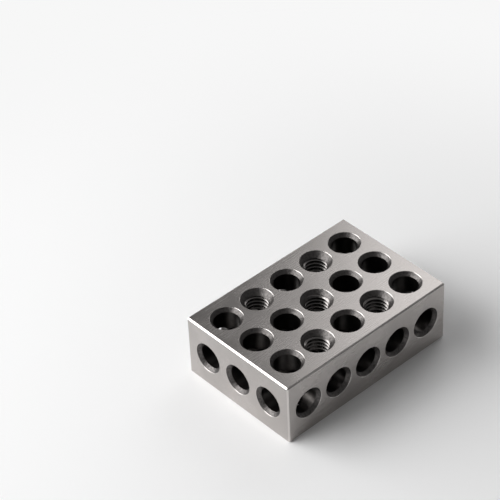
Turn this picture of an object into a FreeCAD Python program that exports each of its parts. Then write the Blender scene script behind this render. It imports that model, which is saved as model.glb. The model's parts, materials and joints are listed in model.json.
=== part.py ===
import FreeCAD, Part

import os
import Sketcher

# Machinist's setup block: one piece of hardened and ground tool steel, 3 x 2 x 1 in, sold as a 1-2-3 block.
# Fifteen holes run through its height, five through its width and three through its length. All of them
# are countersunk at both mouths, and the width and length holes cross the others at mid-height. Five of the
# fifteen, in a cross over the inner columns, are tapped for the clamping studs, and the rest are plain.
#
# Frame: +X along the length, +Y along the width, +Z up, origin at the middle of the underside.
# The body is modelled about its own centre, so its origin planes are the block's planes of symmetry.

# The driving dimensions, in millimetres and degrees: (alias, value, what it is).
SIZES = (
    ("block_length", 76.2, "long side, along X, 3 in"),
    ("block_width", 50.8, "middle side, along Y, 2 in"),
    ("block_height", 25.4, "short side, along Z, 1 in"),
    ("edge_chamfer", 0.5, "leg of the chamfer along each outer edge"),
    ("end_margin", 9.525, "from an end face to the centre of the nearest hole, 3/8 in"),
    ("side_margin", 10.16, "from a long side face to the centre of the nearest hole, 2/5 in"),
    ("plain_bore", 9.525, "diameter of a plain hole, 3/8 in, a clearance hole for a 5/16 in stud"),
    ("countersink_width", 1.2375, "width of the countersunk ring around a plain hole"),
    ("countersink_angle", 82, "full angle of the countersinks"),
)

# The tapped holes take their drill size from this thread's table.
THREAD_STANDARD = "UNC"
THREAD_SIZE = "3/8"

# A face carries five columns of holes along X and three rows along Y, spread evenly between the margins.
COLUMNS = 5
ROWS = 3
COLUMN_PITCH = f"(sizes.block_length - 2 * sizes.end_margin) / {COLUMNS - 1}"
ROW_PITCH = f"(sizes.block_width - 2 * sizes.side_margin) / {ROWS - 1}"

# Where the columns and rows stand, from the middle of the face.
OUTER_COLUMN = f"2 * {COLUMN_PITCH}"
INNER_COLUMN = COLUMN_PITCH
OUTER_ROW = ROW_PITCH
MIDDLE = "0"

# The same countersinking tool goes to the same depth in every hole, so all mouths are alike.
MOUTH_DIAMETER = "sizes.plain_bore + 2 * sizes.countersink_width"

# How Sketcher numbers a sketch's own axes, the first of which also carries its origin, and a curve's points.
HORIZONTAL_AXIS, VERTICAL_AXIS = -1, -2
START, END, CENTRE = 1, 2, 3

CUTS = ("PartDesign::Hole", "PartDesign::MultiTransform")


def add_sizes(doc):
    """The spreadsheet of driving dimensions, one row for each, read as sizes.ALIAS by the expressions."""
    sheet = doc.addObject("Spreadsheet::Sheet", "sizes")
    for row, (alias, value, note) in enumerate(SIZES, start=1):
        sheet.set(f"A{row}", alias)
        sheet.set(f"B{row}", str(value))
        sheet.set(f"C{row}", note)
        sheet.setAlias(f"B{row}", alias)
    doc.recompute()


def origin_feature(body, role):
    """One of the body's own origin planes or axes, by its role."""
    return next(item for item in body.Origin.OriginFeatures if item.Role == role)


def add_sketch(body, name, plane, lift=MIDDLE):
    """A sketch on one of the body's origin planes, raised along its normal by the expression lift."""
    sketch = body.newObject("Sketcher::SketchObject", name)
    sketch.AttachmentSupport = (origin_feature(body, plane), "")
    sketch.MapMode = "FlatFace"
    sketch.setExpression("AttachmentOffset.Base.z", lift)
    return sketch


def tie(sketch, name, kind, points, expression):
    """Adds a dimension of that kind between the points, and binds it to the expression."""
    value = sketch.evalExpression(expression)
    index = sketch.addConstraint(Sketcher.Constraint(kind, *points, value))
    sketch.renameConstraint(index, name)
    sketch.setExpression(f"Constraints.{name}", expression)


def draw_rectangle(sketch, length, width):
    """A rectangle about the sketch's origin, length along its first axis and width along its second."""
    right = sketch.evalExpression(length) / 2
    back = sketch.evalExpression(width) / 2
    places = ((-right, -back), (right, -back), (right, back), (-right, back))
    corners = [FreeCAD.Vector(x, y, 0) for x, y in places]
    sides = [
        sketch.addGeometry(Part.LineSegment(corner, following))
        for corner, following in zip(corners, corners[1:] + corners[:1])
    ]
    for side, following in zip(sides, sides[1:] + sides[:1]):
        sketch.addConstraint(Sketcher.Constraint("Coincident", side, END, following, START))
    for side, direction in zip(sides, ("Horizontal", "Vertical", "Horizontal", "Vertical")):
        sketch.addConstraint(Sketcher.Constraint(direction, side))
    front_side, right_side, back_side, _ = sides
    opposite = (front_side, START, back_side, START, HORIZONTAL_AXIS, START)
    sketch.addConstraint(Sketcher.Constraint("Symmetric", *opposite))
    tie(sketch, "length", "DistanceX", (front_side, START, front_side, END), length)
    tie(sketch, "width", "DistanceY", (right_side, START, right_side, END), width)


def draw_mouth(sketch, number, across, up):
    """The circle of a hole's mouth, across and up from the sketch's origin by those expressions."""
    centre = FreeCAD.Vector(sketch.evalExpression(across), sketch.evalExpression(up), 0)
    radius = sketch.evalExpression(MOUTH_DIAMETER) / 2
    circle = sketch.addGeometry(Part.Circle(centre, FreeCAD.Vector(0, 0, 1), radius))
    for name, kind, axis, distance in (
        ("across", "DistanceX", VERTICAL_AXIS, across),
        ("up", "DistanceY", HORIZONTAL_AXIS, up),
    ):
        if distance == MIDDLE:
            sketch.addConstraint(Sketcher.Constraint("PointOnObject", circle, CENTRE, axis))
        else:
            points = (HORIZONTAL_AXIS, START, circle, CENTRE)
            tie(sketch, f"{name}_{number}", kind, points, distance)
    tie(sketch, f"diameter_{number}", "Diameter", (circle,), MOUTH_DIAMETER)


def add_holes(body, name, plane, through, places, tapped=False):
    """Countersunk holes from one face to the block's middle plane, one at each of places.

    plane is the origin plane halfway through, and through the size of the block from face to face.
    """
    half = f"{through} / 2"
    mouths = add_sketch(body, f"{name}_mouths", plane, half)
    for number, (across, up) in enumerate(places, start=1):
        draw_mouth(mouths, number, across, up)
    body.Document.recompute()
    hole = body.newObject("PartDesign::Hole", name)
    hole.Profile = mouths
    body.Document.recompute()
    if tapped:
        hole.ThreadType = THREAD_STANDARD
        hole.ThreadSize = THREAD_SIZE
        hole.Threaded = True
    else:
        hole.setExpression("Diameter", "sizes.plain_bore")
    hole.DepthType = "Dimension"
    hole.DrillPoint = "Flat"
    hole.setExpression("Depth", half)
    hole.HoleCutType = "Countersink"
    hole.HoleCutCustomValues = True
    hole.setExpression("HoleCutDiameter", MOUTH_DIAMETER)
    hole.setExpression("HoleCutCountersinkAngle", "sizes.countersink_angle")
    return hole


def mirrored(body, plane):
    """A copy on the other side of one of the body's origin planes."""
    mirror = body.newObject("PartDesign::Mirrored", f"over_{plane}")
    mirror.MirrorPlane = (origin_feature(body, plane), [""])
    return mirror


def in_line(body, axis, pitch, count):
    """count copies along one of the body's origin axes, each a pitch from the one before."""
    line = body.newObject("PartDesign::LinearPattern", f"along_{axis}")
    line.Direction = (origin_feature(body, axis), [""])
    line.Mode = "Spacing"
    line.setExpression("Offset", pitch)
    line.Occurrences = count
    return line


def repeat(body, hole, steps):
    """The hole, carried through the steps one after another. The body's tip moves to the result."""
    pattern = body.newObject("PartDesign::MultiTransform", f"{hole.Label}_pattern")
    pattern.Originals = [hole]
    pattern.Transformations = steps
    body.Tip = pattern
    body.Document.recompute()


def add_stock(body):
    """The ground block, with a chamfer along each of its twelve edges."""
    outline = add_sketch(body, "stock_outline", "XY_Plane")
    draw_rectangle(outline, "sizes.block_length", "sizes.block_width")
    stock = body.newObject("PartDesign::Pad", "stock")
    stock.Profile = outline
    stock.SideType = "Symmetric"
    stock.setExpression("Length", "sizes.block_height")
    body.Document.recompute()
    edges = body.newObject("PartDesign::Chamfer", "edge_break")
    edges.Base = (stock, [""])
    edges.UseAllEdges = True
    edges.setExpression("Size", "sizes.edge_chamfer")
    body.Document.recompute()


def add_height_holes(body):
    """The fifteen holes from top to underside: ten plain ones, and five tapped ones in a cross."""
    plane = "XY_Plane"
    height = "sizes.block_height"
    outer_rows = add_holes(body, "outer_row_hole", plane, height, [(f"-{OUTER_COLUMN}", OUTER_ROW)])
    every_other_column = in_line(body, "X_Axis", OUTER_COLUMN, 3)
    repeat(body, outer_rows, [every_other_column, mirrored(body, "XZ_Plane"), mirrored(body, plane)])
    places = [(INNER_COLUMN, MIDDLE), (OUTER_COLUMN, MIDDLE)]
    middle_row = add_holes(body, "middle_row_hole", plane, height, places)
    repeat(body, middle_row, [mirrored(body, "YZ_Plane"), mirrored(body, plane)])
    places = [(INNER_COLUMN, OUTER_ROW)]
    tapped = add_holes(body, "tapped_hole", plane, height, places, tapped=True)
    repeat(body, tapped, [mirrored(body, side) for side in ("YZ_Plane", "XZ_Plane", plane)])
    places = [(MIDDLE, MIDDLE)]
    middle = add_holes(body, "middle_tapped_hole", plane, height, places, tapped=True)
    repeat(body, middle, [mirrored(body, plane)])


def add_cross_holes(body):
    """The plain holes at mid-height: five through the width, and three through the length."""
    places = [(f"-{OUTER_COLUMN}", MIDDLE)]
    side = add_holes(body, "side_hole", "XZ_Plane", "sizes.block_width", places)
    columns = in_line(body, "X_Axis", COLUMN_PITCH, COLUMNS)
    repeat(body, side, [columns, mirrored(body, "XZ_Plane")])
    places = [(f"-{OUTER_ROW}", MIDDLE)]
    end = add_holes(body, "end_hole", "YZ_Plane", "sizes.block_length", places)
    rows = in_line(body, "Y_Axis", ROW_PITCH, ROWS)
    repeat(body, end, [rows, mirrored(body, "YZ_Plane")])


def add_setup_block(doc):
    """The whole block, standing on its underside."""
    body = doc.addObject("PartDesign::Body", "setup_block")
    body.setExpression("Placement.Base.z", "sizes.block_height / 2")
    add_stock(body)
    add_height_holes(body)
    add_cross_holes(body)
    return body


def check(doc, parts):
    """Stops if an object failed, a hole takes nothing away, or a part isn't one valid solid."""
    for item in doc.Objects:
        if {"Invalid", "Error"} & set(item.State):
            raise RuntimeError(f"{item.Label} failed: {item.State}")
        if item.TypeId in CUTS and item.Shape.Volume >= item.BaseFeature.Shape.Volume:
            raise RuntimeError(f"{item.Label} takes nothing away")
    for part in parts:
        if part.Shape.isNull() or not part.Shape.isValid() or len(part.Shape.Solids) != 1:
            raise RuntimeError(f"{part.Label} is not one valid solid")


def main():
    doc = FreeCAD.newDocument("machinist_setup_block")
    add_sizes(doc)
    parts = [add_setup_block(doc)]
    doc.recompute()
    check(doc, parts)
    os.makedirs("parts", exist_ok=True)
    for part in parts:
        part.Shape.exportStep(f"parts/{part.Label}.step")


main()
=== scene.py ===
"""Machinist's setup block: the finish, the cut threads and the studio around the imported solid."""

import json
import math

import bmesh
import bpy
from mathutils import Matrix, Vector


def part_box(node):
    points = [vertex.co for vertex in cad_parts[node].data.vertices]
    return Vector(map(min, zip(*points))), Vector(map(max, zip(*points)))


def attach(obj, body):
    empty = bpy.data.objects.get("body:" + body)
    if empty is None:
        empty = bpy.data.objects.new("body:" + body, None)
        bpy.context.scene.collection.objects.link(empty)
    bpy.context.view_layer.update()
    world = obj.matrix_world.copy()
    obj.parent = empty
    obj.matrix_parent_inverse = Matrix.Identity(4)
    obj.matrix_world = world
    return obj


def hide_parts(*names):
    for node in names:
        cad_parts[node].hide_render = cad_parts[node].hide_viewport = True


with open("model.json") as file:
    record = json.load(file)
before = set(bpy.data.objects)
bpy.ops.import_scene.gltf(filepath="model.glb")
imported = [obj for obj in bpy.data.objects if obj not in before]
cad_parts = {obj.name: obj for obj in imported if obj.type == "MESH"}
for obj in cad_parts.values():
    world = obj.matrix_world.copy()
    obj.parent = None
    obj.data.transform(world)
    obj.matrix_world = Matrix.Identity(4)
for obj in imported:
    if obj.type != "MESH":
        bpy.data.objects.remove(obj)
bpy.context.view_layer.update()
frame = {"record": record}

bl_info = {
    "name": "Machinist setup block",
    "version": (1, 0, 0),
    "blender": (4, 5, 0),
    "location": "View3D > Sidebar > Setup block",
    "description": "Builds a ground steel setup block with plain and tapped holes, and its studio",
    "category": "Add Mesh",
}

NODE = "setup_block"
BODY = "root"
PIECE = "ground_block"

BLOCK_LOW, BLOCK_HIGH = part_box(NODE)
BLOCK_CENTRE = (BLOCK_LOW + BLOCK_HIGH) / 2
BLOCK_SIZE = BLOCK_HIGH - BLOCK_LOW

MM = 0.001
ROUND_MOUNTS = ("bore", "threaded_hole")
HOLES = [mount for mount in frame["record"]["mounts"] if mount["kind"] in ROUND_MOUNTS]

# A 60 degree thread: its flats are this share of the pitch, and its flanks lean this far from square.
ROOT_FLAT_SHARE = 1 / 8
FLANK_ANGLE = math.radians(30)
# The ridge that cuts the thread starts this share of the pitch inside the bore.
OVERLAP_SHARE = 0.1

# The dim side of the room, as seen from above.
FRONT_RIGHT = (0.5, -0.86)

# Each lamp's direction from the block, its distance, its width and its height.
KEY_SOFTBOX = ((-0.645, 0.578, 0.499), 0.9, 1.1, 0.9)
SIDE_SOFTBOX = ((0.758, 0.322, 0.567), 0.8, 0.5, 0.5)

FLOOR_WIDTH = 12
SENSOR_WIDTH = 36
# Faces that meet at less than this angle are shaded as one smooth surface.
SMOOTH_ANGLE = math.radians(22)

# How much of the block's tool marks reaches the surface: contrast of the colour, and depth of the bump.
GROUND_MARKS = (0.06, 0.0002 * MM)
MOUTH_MARKS = (0.9, 0.12 * MM)
BORE_MARKS = (0.5, 0.01 * MM)

# Sockets that the nodes give only by number.
OBJECT_COORDINATES = 3
MIX_FACTOR, MIX_FIRST, MIX_SECOND = 0, 6, 7
MIX_COLOUR = 2

# Between these distances from the block, the floor fades into the pale backdrop.
FADE_START = 0.06
FADE_END = 0.22

# The order of the block's materials.
GROUND, CHAMFER_HIGHLIGHT, MOUTH, BORE, THREAD_HIGHLIGHT = range(5)


# ---------------------------------------------------------------- settings


def size(name, description, default, digits=5):
    """A length that the user can change, in metres."""
    return bpy.props.FloatProperty(
        name=name, description=description, default=default, min=0,
        subtype="DISTANCE", unit="LENGTH", precision=digits,
    )


def angle(name, description, degrees):
    """An angle that the user can change, given in degrees."""
    return bpy.props.FloatProperty(
        name=name, description=description, default=math.radians(degrees), subtype="ANGLE", unit="ROTATION",
    )


def share(name, description, default):
    """A number from 0 to 1 that the user can change."""
    return bpy.props.FloatProperty(
        name=name, description=description, default=default, min=0, max=1, subtype="FACTOR",
    )


def colour(name, description, default):
    """A colour that the user can change, as linear red, green and blue."""
    return bpy.props.FloatVectorProperty(
        name=name, description=description, default=default, size=3, min=0, max=1, subtype="COLOR",
    )


class BlockSizes(bpy.types.PropertyGroup):
    """Sizes of the block's details. The block itself and its holes come from the frame."""

    edge_chamfer: size("Edge chamfer", "Leg of the chamfer along each outer edge", 0.5 * MM)
    countersink_angle: angle("Countersink angle", "Full angle of the countersinks", 82)
    lip_width: size("Lip width", "Width of the broken edge around each mouth", 0.12 * MM)
    thread_diameter: size("Thread diameter", "Major diameter of the tapped holes, 3/8 in", 9.525 * MM)
    thread_pitch: size("Thread pitch", "Distance from crest to crest, 1/16 in", 25.4 / 16 * MM)
    round_steps: bpy.props.IntProperty(
        name="Steps in a turn", description="Flat strips around each bore and each turn of thread",
        default=96, min=12,
    )


class SteelFinish(bpy.types.PropertyGroup):
    """Colours and polish of the steel."""

    ground: colour("Ground steel", "Colour of the ground faces", (0.50, 0.472, 0.456))
    # The chamfers take a lighter copy of the ground steel: a painted highlight along the edges and round
    # each mouth's lip.
    chamfer: colour("Chamfers", "Colour of the ground chamfers", (0.66, 0.63, 0.61))
    mouth: colour("Countersinks", "Colour of the turned countersinks", (0.115, 0.108, 0.105))
    bore: colour("Bores", "Colour of the bores, darkened by the heat treatment", (0.07, 0.065, 0.062))
    # The cut threads are made much lighter than the scaled bores: a painted highlight that brings out the
    # thread rings.
    thread: colour("Threads", "Colour of the cut threads", (0.30, 0.283, 0.275))
    ground_roughness: share("Ground roughness", "Roughness of the ground faces", 0.27)
    mouth_roughness: share("Countersink roughness", "Roughness of the countersinks", 0.42)
    bore_roughness: share("Bore roughness", "Roughness of the bores", 0.38)
    thread_roughness: share("Thread roughness", "Roughness of the cut threads", 0.28)


class Studio(bpy.types.PropertyGroup):
    """Where the camera stands and how bright the lamps are."""

    azimuth: angle("Camera azimuth", "Round the block, from the front", -43.07)
    elevation: angle("Camera elevation", "Above the horizon, from the block's centre", 42.28)
    distance: size("Camera distance", "From the block's centre", 0.759, digits=3)
    aim: bpy.props.FloatVectorProperty(
        name="Camera aim", description="Point of the floor in the middle of the view",
        default=(0.0216, 0.0592, 0), size=3, subtype="TRANSLATION", unit="LENGTH",
    )
    roll: angle("Camera roll", "Turn of the camera about its line of sight", -2.88)
    lens: bpy.props.FloatProperty(
        name="Lens", description="Focal length for a 36 mm wide sensor", default=154.9, min=1, unit="CAMERA",
    )
    key: bpy.props.FloatProperty(
        name="Key softbox", description="Power of the large softbox at the left, behind the block",
        default=14.3, min=0, unit="POWER",
    )
    side: bpy.props.FloatProperty(
        name="Side softbox", description="Power of the softbox at the right, behind the block",
        default=1.2, min=0, unit="POWER",
    )
    floor: colour("Floor", "Colour of the floor", (0.93, 0.93, 0.93))
    horizon: colour("Horizon", "Light of the room near the floor, behind the block", (0.45, 0.45, 0.45))
    front: colour("Front", "Light of the room in front of the block", (0.18, 0.18, 0.18))
    room: colour("Room", "Light of the room above the softboxes", (0.13, 0.13, 0.13))


# ---------------------------------------------------------------- modelling helpers


def start(add, name, **place):
    """Adds a primitive with nothing else selected, names it and goes into edit mode."""
    bpy.ops.object.select_all(action="DESELECT")
    add(**place)
    piece = bpy.context.object
    piece.name = name
    bpy.ops.object.mode_set(mode="EDIT")
    return piece


def select(piece, kind, test):
    """Selects the faces or edges of the piece in edit mode that pass the test, and no others."""
    bpy.ops.mesh.select_all(action="DESELECT")
    bpy.ops.mesh.select_mode(type=kind)
    shape = bmesh.from_edit_mesh(piece.data)
    for part in shape.faces if kind == "FACE" else shape.edges:
        part.select_set(test(part))
    bmesh.update_edit_mesh(piece.data)


def settle(piece):
    """Leaves edit mode and moves the piece's place into its mesh."""
    bpy.ops.object.mode_set(mode="OBJECT")
    bpy.ops.object.transform_apply(location=True, rotation=True, scale=True)
    return piece


def resize(x=1.0, y=1.0, z=1.0, about=(0, 0, 0)):
    """Scales what is selected about that point."""
    bpy.ops.transform.resize(value=(x, y, z), center_override=about)


def move(x=0.0, y=0.0, z=0.0):
    """Moves what is selected."""
    bpy.ops.transform.translate(value=(x, y, z))


def apply_modifier(piece, kind, **settings):
    """Adds a modifier with those settings to the piece and applies it."""
    bpy.ops.object.select_all(action="DESELECT")
    bpy.context.view_layer.objects.active = piece
    piece.select_set(True)
    bpy.ops.object.modifier_add(type=kind)
    modifier = piece.modifiers[-1]
    for name, value in settings.items():
        setattr(modifier, name, value)
    bpy.ops.object.modifier_apply(modifier=modifier.name)


# ---------------------------------------------------------------- the block


def add_stock(sizes):
    """The ground block with its chamfered edges, still without holes."""
    block = start(bpy.ops.mesh.primitive_cube_add, PIECE, size=1, location=BLOCK_CENTRE)
    resize(*BLOCK_SIZE, about=BLOCK_CENTRE)
    bpy.ops.mesh.bevel(offset=sizes.edge_chamfer, segments=1, affect="EDGES")
    return settle(block)


def paint(piece, number, test=None):
    """Gives the faces that pass the test, or all of them, the block's material of that number."""
    for face in piece.data.polygons:
        if test is None or test(face):
            face.material_index = number


def add_drill(sizes, name, radius, wall, through):
    """A cutter along Z about the origin: the bore, with a countersink and a broken lip at both ends."""
    lean = math.tan(sizes.countersink_angle / 2)
    countersink = (through - wall) / 2
    mouth = radius + countersink * lean
    lip_out = mouth + sizes.lip_width / 2
    lip_in = mouth - sizes.lip_width / 2
    lip_depth = (mouth - lip_in) / lean
    drill = start(
        bpy.ops.mesh.primitive_cylinder_add, name,
        vertices=sizes.round_steps, radius=radius, depth=wall, end_fill_type="NGON",
    )
    steps = (
        (countersink - lip_depth, lip_in / radius),
        (lip_depth, lip_out / lip_in),
        (countersink, 1.0),
    )
    for side in (1, -1):
        select(drill, "FACE", lambda face: face.normal.z * side > 0.9)
        for rise, growth in steps:
            bpy.ops.mesh.extrude_region_move()
            move(z=side * rise)
            resize(growth, growth)
    settle(drill)
    paint(drill, BORE)
    paint(drill, MOUTH, lambda face: abs(face.center.z) > wall / 2)
    # The broken lip round each mouth takes the lighter chamfer steel: a painted highlight rim.
    paint(drill, CHAMFER_HIGHLIGHT, lambda face: wall / 2 + countersink - lip_depth < abs(face.center.z) < through / 2)
    return drill


def add_tap(sizes, minor, through):
    """A cutter for the thread alone: a ridge of the groove's section, wound up the bore."""
    pitch = sizes.thread_pitch
    major = sizes.thread_diameter / 2
    inner = minor - OVERLAP_SHARE * pitch
    root = pitch * ROOT_FLAT_SHARE
    base = root + 2 * (major - inner) * math.tan(FLANK_ANGLE)
    turns = math.ceil(through / pitch) + 2
    middle = ((inner + major) / 2, 0, -turns * pitch / 2)
    tap = start(bpy.ops.mesh.primitive_plane_add, "tap", size=1, location=middle)
    bpy.ops.transform.rotate(value=math.radians(90), orient_axis="X", center_override=middle)
    resize(major - inner, 1, base, about=middle)
    select(tap, "EDGE", lambda edge: all(vert.co.x > 0 for vert in edge.verts))
    resize(z=root / base, about=middle)
    bpy.ops.mesh.select_all(action="SELECT")
    bpy.ops.mesh.delete(type="ONLY_FACE")
    settle(tap)
    apply_modifier(
        tap, "SCREW", axis="Z", angle=2 * math.pi, screw_offset=pitch, iterations=turns,
        steps=sizes.round_steps, render_steps=sizes.round_steps, use_smooth_shade=False,
    )
    bpy.ops.object.mode_set(mode="EDIT")
    bpy.ops.mesh.select_all(action="SELECT")
    bpy.ops.mesh.remove_doubles(threshold=pitch / 1000)
    bpy.ops.mesh.fill_holes(sides=4)
    bpy.ops.mesh.select_all(action="SELECT")
    bpy.ops.mesh.normals_make_consistent(inside=False)
    bpy.ops.object.mode_set(mode="OBJECT")
    # The flanks and roots that the ridge cuts take the lighter thread steel: a painted highlight on the
    # rings.
    paint(tap, THREAD_HIGHLIGHT)
    return tap


def placed_copy(cutter, place, axis, spin=0.0):
    """A copy of the cutter with its own mesh, turned from Z to the hole's axis and moved to its place."""
    copy = cutter.copy()
    copy.data = cutter.data.copy()
    bpy.context.scene.collection.objects.link(copy)
    turn = Vector((0, 0, 1)).rotation_difference(axis).to_matrix().to_4x4()
    copy.data.transform(Matrix.Translation(place) @ turn @ Matrix.Rotation(spin, 4, "Z"))
    return copy


def cut(block, cutter):
    """Takes the cutter away from the block, and then removes it."""
    apply_modifier(block, "BOOLEAN", object=cutter, operation="DIFFERENCE", solver="MANIFOLD")
    bpy.data.objects.remove(cutter)


def cut_holes(block, sizes):
    """Every hole that the frame states: drilled and countersunk, and then tapped where it has a thread.

    Each cutter is spun by a different amount, so that the strips of bores that cross never coincide.
    """
    cutters = {}
    for number, hole in enumerate(HOLES):
        axis = Vector([abs(part) for part in hole["axis"]])
        place = Vector(hole["pos_m"])
        radius = hole["dims"]["r_mm"] * MM
        wall = hole["dims"]["length_mm"] * MM
        through = BLOCK_SIZE.dot(axis)
        tapped = hole["kind"] == "threaded_hole"
        key = (tapped, round(through, 6))
        if key not in cutters:
            cutters[key] = [add_drill(sizes, "drill", radius, wall, through)]
            if tapped:
                cutters[key].append(add_tap(sizes, radius, through))
            for cutter in cutters[key]:
                for material in block.data.materials:
                    cutter.data.materials.append(material)
        for cutter in cutters[key]:
            cut(block, placed_copy(cutter, place, axis, spin=number))
    for group in cutters.values():
        for cutter in group:
            bpy.data.objects.remove(cutter)


# ---------------------------------------------------------------- materials


class Wire:
    """An output of a node. An expression on wires and numbers adds its Math nodes."""

    def __init__(self, graph, socket):
        self.graph = graph
        self.socket = socket

    def math(self, operation, *terms):
        return self.graph.node("ShaderNodeMath", {"operation": operation}, dict(enumerate(terms)))

    def __add__(self, other):
        return self.math("ADD", self, other)

    def __mul__(self, other):
        return self.math("MULTIPLY", self, other)

    def __radd__(self, other):
        return self.math("ADD", other, self)

    def __rmul__(self, other):
        return self.math("MULTIPLY", other, self)

    def ramp(self, low, high):
        """0 at low and 1 at high, smooth between them."""
        settings = {"interpolation_type": "SMOOTHSTEP"}
        inputs = {"Value": self, "From Min": low, "From Max": high}
        return self.graph.node("ShaderNodeMapRange", settings, inputs)


class Graph:
    """The nodes of a material or of the world."""

    def __init__(self, tree):
        self.tree = tree
        tree.nodes.clear()

    def node(self, kind, settings=None, inputs=None, output=0):
        """Adds a node, sets it, feeds its inputs with values or wires, and returns one of its outputs."""
        node = self.tree.nodes.new(kind)
        for name, value in (settings or {}).items():
            setattr(node, name, value)
        for name, value in (inputs or {}).items():
            if isinstance(value, Wire):
                self.tree.links.new(value.socket, node.inputs[name])
            else:
                node.inputs[name].default_value = value
        return Wire(self, node.outputs[output] if node.outputs else None)

    def mix(self, factor, first, second):
        """Mixes two colours."""
        inputs = {MIX_FACTOR: factor, MIX_FIRST: rgba(first), MIX_SECOND: rgba(second)}
        return self.node("ShaderNodeMix", {"data_type": "RGBA"}, inputs, output=MIX_COLOUR)

    def axes(self, vector):
        """The X, Y and Z of a vector."""
        outputs = self.node("ShaderNodeSeparateXYZ", None, {0: vector}).socket.node.outputs
        return [Wire(self, socket) for socket in outputs]

    def seen(self):
        """1 where the camera, a reflection or a clear material looks, and 0 for light that falls."""
        rays = self.node("ShaderNodeLightPath").socket.node.outputs
        camera = Wire(self, rays["Is Camera Ray"])
        glossy = Wire(self, rays["Is Glossy Ray"])
        clear = Wire(self, rays["Is Transmission Ray"])
        return camera.math("MAXIMUM", camera.math("MAXIMUM", camera, glossy), clear)

    def noise(self, place, scale, stretch=(1, 1, 1), detail=3.0):
        """Noise from 0 to 1, with that many cells a metre, drawn out along the axes."""
        spread = self.node("ShaderNodeVectorMath", {"operation": "MULTIPLY"}, {0: place, 1: stretch})
        return self.node("ShaderNodeTexNoise", None, {"Vector": spread, "Scale": scale, "Detail": detail})


def rgba(value):
    """A colour as a socket takes it."""
    return value if isinstance(value, Wire) else (*value, 1.0)


def tinted(colour, factor):
    """The colour made lighter or darker by that factor."""
    return tuple(part * factor for part in colour)


def new_steel(name, colour, roughness, contrast, depth, marks):
    """Steel with soft stains and tool marks. depth is that of the marks, and marks draws them."""
    material = bpy.data.materials.new(name)
    material.use_nodes = True
    graph = Graph(material.node_tree)
    place = graph.node("ShaderNodeTexCoord", output=OBJECT_COORDINATES)
    stains = graph.noise(place, 70).ramp(0.3, 0.7)
    lines = marks(graph, place)
    base = graph.mix(stains, tinted(colour, 0.93), tinted(colour, 1.05))
    base = graph.mix(lines * contrast, base, tinted(colour, 0.6))
    polish = roughness * 0.86 + stains * (roughness * 0.16) + lines * (roughness * 0.1)
    bump = graph.node("ShaderNodeBump", None, {"Strength": 0.25, "Distance": depth, "Height": lines})
    inputs = {"Base Color": base, "Metallic": 1.0, "Roughness": polish, "Normal": bump}
    shader = graph.node("ShaderNodeBsdfPrincipled", None, inputs)
    graph.node("ShaderNodeOutputMaterial", None, {"Surface": shader})
    return material


def grinding(graph, place):
    """Long fine scratches along the block's length, as a surface grinder leaves them."""
    return graph.noise(place, 1, stretch=(60, 5200, 5200), detail=4.0).ramp(0.42, 0.72)


def turning(graph, place):
    """Chatter marks of a countersinking tool: short broken flecks."""
    return graph.noise(place, 1500, detail=2.0).ramp(0.45, 0.65)


def scale_marks(graph, place):
    """Blotches of the dark skin that the heat treatment leaves in the bores."""
    return graph.noise(place, 420, detail=4.0).ramp(0.4, 0.7)


def block_materials(finish):
    """The block's materials, in the order of their numbers."""
    return (
        new_steel("steel_ground", finish.ground, finish.ground_roughness, *GROUND_MARKS, grinding),
        # The chamfer steel is a lighter copy of the ground steel: a painted highlight on the edges and lips.
        new_steel("steel_chamfer_highlight", finish.chamfer, finish.ground_roughness, *GROUND_MARKS, grinding),
        new_steel("steel_countersink", finish.mouth, finish.mouth_roughness, *MOUTH_MARKS, turning),
        new_steel("steel_bore", finish.bore, finish.bore_roughness, *BORE_MARKS, scale_marks),
        # The thread steel is lighter than the bore steel: a painted highlight on the thread rings.
        new_steel("steel_thread_highlight", finish.thread, finish.thread_roughness, *BORE_MARKS, scale_marks),
    )


# ---------------------------------------------------------------- studio


def from_above(azimuth, elevation):
    """The direction to something at that azimuth round the block, from the front, and that elevation."""
    flat = math.cos(elevation)
    return Vector((math.sin(azimuth) * flat, -math.cos(azimuth) * flat, math.sin(elevation)))


def add_camera(studio):
    """The camera, at its place round the block, aimed at a point of the floor and rolled."""
    place = BLOCK_CENTRE + studio.distance * from_above(studio.azimuth, studio.elevation)
    back = (place - Vector(studio.aim)).normalized()
    level = Vector((0, 0, 1)).cross(back).normalized()
    rise = back.cross(level)
    right = level * math.cos(studio.roll) + rise * math.sin(studio.roll)
    up = back.cross(right)
    bpy.ops.object.camera_add()
    camera = bpy.context.object
    camera.name = "camera"
    camera.matrix_world = Matrix.Translation(place) @ Matrix((right, up, back)).transposed().to_4x4()
    camera.data.lens = studio.lens
    camera.data.sensor_width = SENSOR_WIDTH
    camera.data.clip_start = 0.01
    bpy.context.scene.camera = camera


def add_softbox(name, power, towards, distance, width, height):
    """A soft rectangular lamp in that direction from the block, facing it."""
    away = Vector(towards).normalized()
    bpy.ops.object.light_add(type="AREA", location=BLOCK_CENTRE + distance * away)
    lamp = bpy.context.object
    lamp.name = name
    lamp.rotation_euler = away.to_track_quat("Z", "Y").to_euler()
    lamp.data.shape = "RECTANGLE"
    lamp.data.size = width
    lamp.data.size_y = height
    lamp.data.energy = power
    lamp.visible_camera = False


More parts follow.
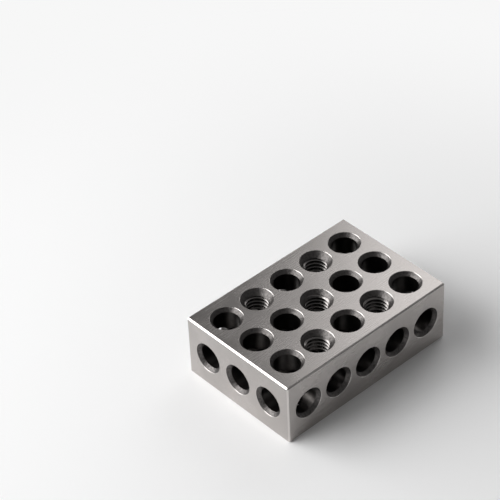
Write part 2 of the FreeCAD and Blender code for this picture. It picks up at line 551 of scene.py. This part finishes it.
def add_floor(studio):
    """The pale floor, which takes the block's shadow and fades into the backdrop."""
    bpy.ops.object.select_all(action="DESELECT")
    bpy.ops.mesh.primitive_plane_add(size=FLOOR_WIDTH, location=(0, 0, BLOCK_LOW.z))
    floor = bpy.context.object
    floor.name = "floor"
    material = bpy.data.materials.new("floor_paper")
    material.use_nodes = True
    graph = Graph(material.node_tree)
    place = graph.node("ShaderNodeTexCoord", output=OBJECT_COORDINATES)
    base = graph.mix(graph.noise(place, 3), studio.floor, tinted(studio.floor, 0.99))
    paper = {"Base Color": base, "Roughness": 0.9, "Specular IOR Level": 0.1}
    shader = graph.node("ShaderNodeBsdfPrincipled", None, paper)
    glow = graph.node("ShaderNodeEmission", None, {"Color": rgba(studio.floor), "Strength": 1.0})
    away = graph.node("ShaderNodeVectorMath", {"operation": "LENGTH"}, {0: place}, output=1)
    far = away.ramp(FADE_START, FADE_END) * graph.seen()
    shader = graph.node("ShaderNodeMixShader", None, {0: far, 1: shader, 2: glow})
    graph.node("ShaderNodeOutputMaterial", None, {"Surface": shader})
    floor.data.materials.append(material)


def add_room(studio):
    """A plain room: pale at the horizon, which the eye sees past the floor, and dimmer overhead."""
    world = bpy.data.worlds.new("room")
    world.use_nodes = True
    bpy.context.scene.world = world
    graph = Graph(world.node_tree)
    side, depth, height = graph.axes(graph.node("ShaderNodeTexCoord"))
    ahead = side * FRONT_RIGHT[0] + depth * FRONT_RIGHT[1]
    light = graph.mix(height.ramp(0.0, 0.25), studio.horizon, studio.room)
    light = graph.mix(ahead.ramp(-0.35, 0.5), light, studio.front)
    light = graph.mix(graph.node("ShaderNodeLightPath"), light, studio.floor)
    background = graph.node("ShaderNodeBackground", None, {"Color": light, "Strength": 1.0})
    graph.node("ShaderNodeOutputWorld", None, {"Surface": background})


# ---------------------------------------------------------------- operators, panel and main


class OBJECT_OT_ground_block(bpy.types.Operator):
    """Builds the ground steel block with its countersunk plain and tapped holes"""

    bl_idname = "setup_block.ground_block"
    bl_label = "Ground block"

    def execute(self, context):
        sizes = context.scene.block_sizes
        block = add_stock(sizes)
        for material in block_materials(context.scene.steel_finish):
            block.data.materials.append(material)
        # Every slanted face, that is the chamfers, takes the lighter steel: a painted highlight along the
        # edges.
        paint(block, CHAMFER_HIGHLIGHT, lambda face: max(abs(part) for part in face.normal) < 0.99)
        cut_holes(block, sizes)
        bpy.ops.object.select_all(action="DESELECT")
        context.view_layer.objects.active = block
        block.select_set(True)
        bpy.ops.object.shade_smooth_by_angle(angle=SMOOTH_ANGLE)
        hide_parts(NODE)
        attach(block, BODY)
        return {"FINISHED"}


class OBJECT_OT_block_studio(bpy.types.Operator):
    """Adds the floor, the softboxes, the room and the camera"""

    bl_idname = "setup_block.studio"
    bl_label = "Studio"

    def execute(self, context):
        studio = context.scene.block_studio
        add_floor(studio)
        add_room(studio)
        add_softbox("key_softbox", studio.key, *KEY_SOFTBOX)
        add_softbox("side_softbox", studio.side, *SIDE_SOFTBOX)
        add_camera(studio)
        context.scene.view_settings.view_transform = "Standard"
        return {"FINISHED"}


class VIEW3D_PT_setup_block(bpy.types.Panel):
    """Lists the sizes, finishes and studio settings, with the buttons that build them"""

    bl_label = "Setup block"
    bl_idname = "VIEW3D_PT_setup_block"
    bl_space_type = "VIEW_3D"
    bl_region_type = "UI"
    bl_category = "Setup block"

    def draw(self, context):
        groups = (
            (context.scene.block_sizes, OBJECT_OT_ground_block),
            (context.scene.steel_finish, None),
            (context.scene.block_studio, OBJECT_OT_block_studio),
        )
        for group, operator in groups:
            box = self.layout.box()
            for name in group.bl_rna.properties.keys():
                if name not in ("rna_type", "name"):
                    box.prop(group, name)
            if operator:
                box.operator(operator.bl_idname)


CLASSES = (
    BlockSizes,
    SteelFinish,
    Studio,
    OBJECT_OT_ground_block,
    OBJECT_OT_block_studio,
    VIEW3D_PT_setup_block,
)


def register():
    for cls in CLASSES:
        bpy.utils.register_class(cls)
    bpy.types.Scene.block_sizes = bpy.props.PointerProperty(type=BlockSizes)
    bpy.types.Scene.steel_finish = bpy.props.PointerProperty(type=SteelFinish)
    bpy.types.Scene.block_studio = bpy.props.PointerProperty(type=Studio)


def unregister():
    del bpy.types.Scene.block_sizes
    del bpy.types.Scene.steel_finish
    del bpy.types.Scene.block_studio
    for cls in reversed(CLASSES):
        bpy.utils.unregister_class(cls)


def main():
    register()
    bpy.ops.setup_block.ground_block()
    bpy.ops.setup_block.studio()


if __name__ == "__main__":
    main()
